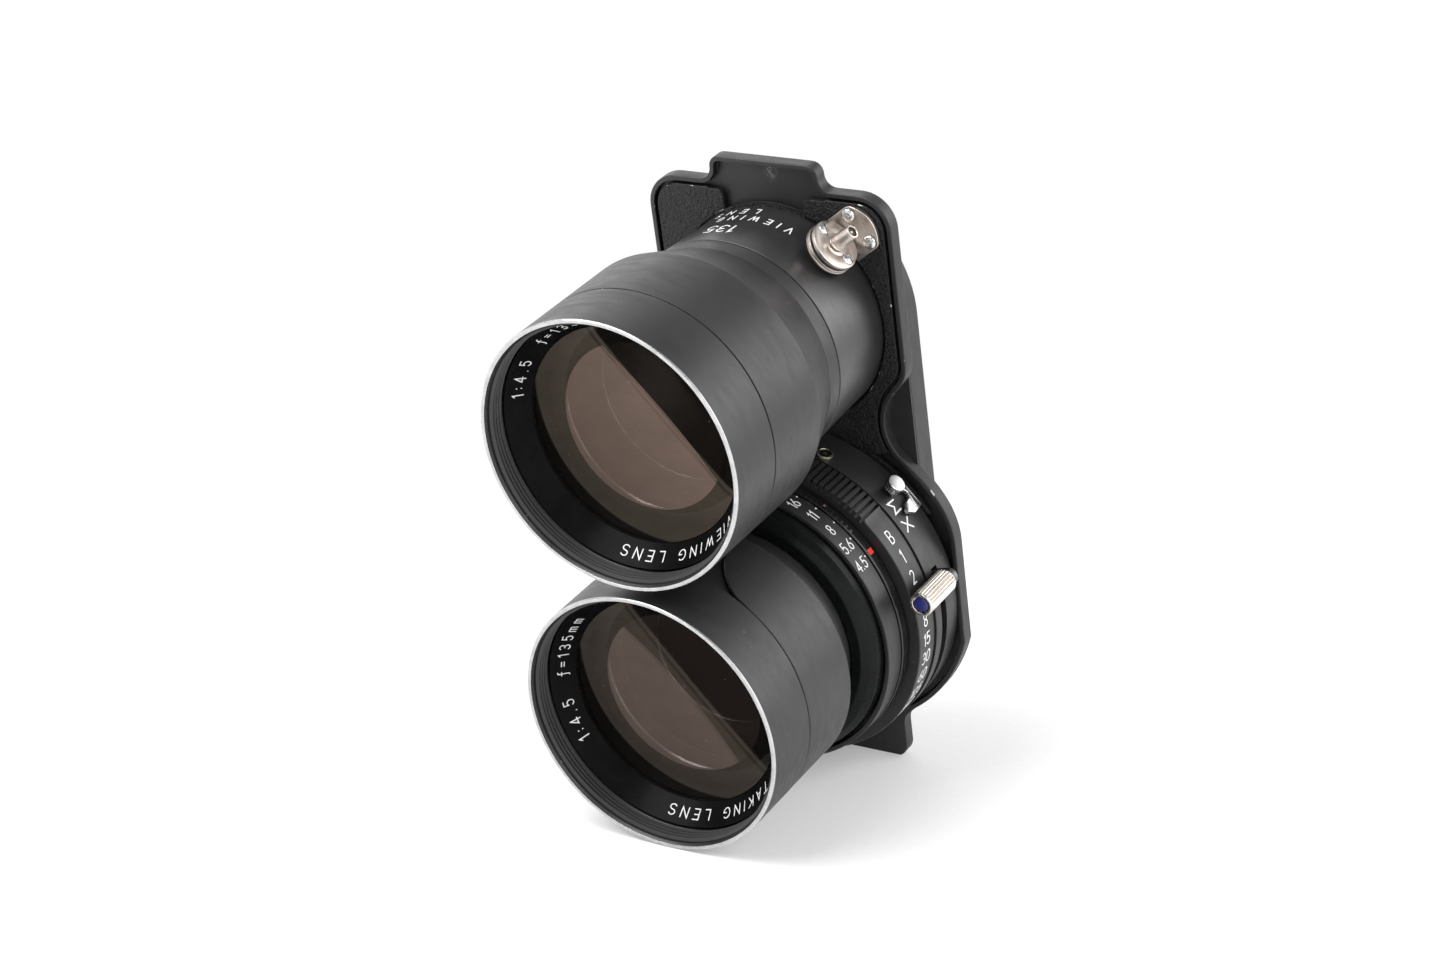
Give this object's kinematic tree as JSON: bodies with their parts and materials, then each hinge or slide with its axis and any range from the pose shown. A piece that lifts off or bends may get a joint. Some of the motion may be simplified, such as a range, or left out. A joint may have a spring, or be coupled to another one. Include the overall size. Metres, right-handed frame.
{
  "type": "twin lens unit for a twin lens reflex camera",
  "caption": "Interchangeable twin lens unit: a viewing lens above a taking lens with leaf shutter, setting rings, cocking lever and flash terminal on one cast lens panel.",
  "frame": {"origin": "on the rear mounting plane of the lens panel, midway between the viewing and taking lens axes", "axes": "the lenses face -Y, +Y points back into the camera, +Z runs from the taking lens up to the viewing lens, +X is to the right as seen from the front"},
  "size_m": [0.065, 0.0626, 0.1143],
  "materials": {
    "satin_black": "satin black anodised and painted aluminium",
    "crinkle_black": "coarse crinkle-finish black enamel",
    "gloss_black": "gloss black with white engraving",
    "nickel": "warm satin nickel plate",
    "steel": "turned steel",
    "brass": "aged brass",
    "coated_glass": "coated optical glass",
    "navy_enamel": "navy blue enamel",
    "blade_steel": "blued spring steel",
    "alloy": "plain machined alloy",
    "insulator": "phenolic insulator"
  },
  "bodies": {
    "panel": {"lens_panel": "satin_black", "panel_cover_plate": "crinkle_black", "housing_bush": "brass", "viewing_front_ring": "satin_black", "viewing_name_ring": "gloss_black", "viewing_front_element": "coated_glass", "viewing_spacer": "gloss_black", "viewing_barrel": "satin_black", "viewing_second_element": "coated_glass", "viewing_neck": "satin_black", "viewing_lock_ring": "satin_black", "viewing_rear_cell": "satin_black", "viewing_rear_element": "coated_glass", "viewing_rear_retainer": "gloss_black", "taking_front_ring": "satin_black", "taking_name_ring": "gloss_black", "taking_front_element": "coated_glass", "taking_spacer": "gloss_black", "taking_barrel": "satin_black", "taking_sleeve": "satin_black", "taking_front_cell": "satin_black", "taking_second_element": "coated_glass", "shutter_front_dish": "gloss_black", "shutter_housing": "satin_black", "shutter_back_plate": "alloy", "shutter_retaining_nut": "satin_black", "shutter_index_ring": "gloss_black", "taking_rear_cell": "satin_black", "taking_rear_element": "coated_glass", "taking_rear_retainer": "gloss_black", "terminal_bracket": "nickel", "terminal_insulating_washer": "insulator", "terminal_face_plate": "nickel", "terminal_face_screw_upper": "steel", "terminal_face_screw_lower": "steel", "terminal_socket_sleeve": "nickel", "terminal_socket_insulator": "insulator", "terminal_centre_pin": "brass", "terminal_base_screw_upper": "steel", "terminal_base_screw_lower": "steel"},
    "speed_ring": {"speed_ring": "satin_black"},
    "aperture_ring": {"aperture_ring": "satin_black"},
    "cocking_lever": {"cocking_lever": "steel", "cocking_knob": "nickel", "cocking_knob_cap": "navy_enamel"},
    "sync_selector": {"sync_selector_lever": "nickel", "sync_selector_post": "nickel"},
    "release_lever": {"shutter_release_lever": "steel"},
    "iris_blade_1": {"iris_blade_1": "blade_steel"},
    "shutter_blade_1": {"shutter_blade_1": "blade_steel"},
    "iris_blade_2": {"iris_blade_2": "blade_steel"},
    "shutter_blade_2": {"shutter_blade_2": "blade_steel"},
    "iris_blade_3": {"iris_blade_3": "blade_steel"},
    "shutter_blade_3": {"shutter_blade_3": "blade_steel"},
    "iris_blade_4": {"iris_blade_4": "blade_steel"},
    "shutter_blade_4": {"shutter_blade_4": "blade_steel"},
    "iris_blade_5": {"iris_blade_5": "blade_steel"},
    "shutter_blade_5": {"shutter_blade_5": "blade_steel"}
  },
  "joints": [
    {"name": "speed_ring_turn", "type": "hinge", "parent": "panel", "child": "speed_ring", "pos_m": [0, -0.0182, -0.025], "axis": [0, -1, 0], "range_deg": [0, 79]},
    {"name": "aperture_ring_turn", "type": "hinge", "parent": "panel", "child": "aperture_ring", "pos_m": [0, -0.0256, -0.025], "axis": [0, -1, 0], "range_deg": [-50, 0]},
    {"name": "cocking_lever_swing", "type": "hinge", "parent": "panel", "child": "cocking_lever", "pos_m": [0, -0.0124, -0.025], "axis": [0, -1, 0], "range_deg": [-55, 0]},
    {"name": "sync_selector_swing", "type": "hinge", "parent": "panel", "child": "sync_selector", "pos_m": [0, -0.0102, -0.025], "axis": [0, -1, 0], "range_deg": [-3.5, 4]},
    {"name": "release_lever_swing", "type": "hinge", "parent": "panel", "child": "release_lever", "pos_m": [0, -0.0102, -0.025], "axis": [0, -1, 0], "range_deg": [-13, 0]},
    {"name": "iris_blade_1_turn", "type": "hinge", "parent": "panel", "child": "iris_blade_1", "pos_m": [0.01832, -0.0135, -0.02177], "axis": [0, -1, 0], "range_deg": [0, 43.1]},
    {"name": "iris_blade_2_turn", "type": "hinge", "parent": "panel", "child": "iris_blade_2", "pos_m": [0.00259, -0.0135, -0.00658], "axis": [0, -1, 0], "range_deg": [0, 43.1]},
    {"name": "iris_blade_3_turn", "type": "hinge", "parent": "panel", "child": "iris_blade_3", "pos_m": [-0.01672, -0.0135, -0.01685], "axis": [0, -1, 0], "range_deg": [0, 43.1]},
    {"name": "iris_blade_4_turn", "type": "hinge", "parent": "panel", "child": "iris_blade_4", "pos_m": [-0.01292, -0.0135, -0.03838], "axis": [0, -1, 0], "range_deg": [0, 43.1]},
    {"name": "iris_blade_5_turn", "type": "hinge", "parent": "panel", "child": "iris_blade_5", "pos_m": [0.00873, -0.0135, -0.04142], "axis": [0, -1, 0], "range_deg": [0, 43.1]},
    {"name": "shutter_blade_1_turn", "type": "hinge", "parent": "panel", "child": "shutter_blade_1", "pos_m": [0.01722, -0.0111, -0.01585], "axis": [0, -1, 0], "range_deg": [-48.1, 0]},
    {"name": "shutter_blade_2_turn", "type": "hinge", "parent": "panel", "child": "shutter_blade_2", "pos_m": [-0.00339, -0.0111, -0.0058], "axis": [0, -1, 0], "range_deg": [-48.1, 0]},
    {"name": "shutter_blade_3_turn", "type": "hinge", "parent": "panel", "child": "shutter_blade_3", "pos_m": [-0.01931, -0.0111, -0.02229], "axis": [0, -1, 0], "range_deg": [-48.1, 0]},
    {"name": "shutter_blade_4_turn", "type": "hinge", "parent": "panel", "child": "shutter_blade_4", "pos_m": [-0.00855, -0.0111, -0.04253], "axis": [0, -1, 0], "range_deg": [-48.1, 0]},
    {"name": "shutter_blade_5_turn", "type": "hinge", "parent": "panel", "child": "shutter_blade_5", "pos_m": [0.01403, -0.0111, -0.03855], "axis": [0, -1, 0], "range_deg": [-48.1, 0]}
  ],
  "couplings": [
    {"joint": "iris_blade_1_turn", "follows": "aperture_ring_turn", "ratio": -0.86},
    {"joint": "iris_blade_2_turn", "follows": "aperture_ring_turn", "ratio": -0.86},
    {"joint": "iris_blade_3_turn", "follows": "aperture_ring_turn", "ratio": -0.86},
    {"joint": "iris_blade_4_turn", "follows": "aperture_ring_turn", "ratio": -0.86},
    {"joint": "iris_blade_5_turn", "follows": "aperture_ring_turn", "ratio": -0.86},
    {"joint": "shutter_blade_1_turn", "follows": "release_lever_swing", "ratio": 3.69},
    {"joint": "shutter_blade_2_turn", "follows": "release_lever_swing", "ratio": 3.69},
    {"joint": "shutter_blade_3_turn", "follows": "release_lever_swing", "ratio": 3.69},
    {"joint": "shutter_blade_4_turn", "follows": "release_lever_swing", "ratio": 3.69},
    {"joint": "shutter_blade_5_turn", "follows": "release_lever_swing", "ratio": 3.69}
  ]
}
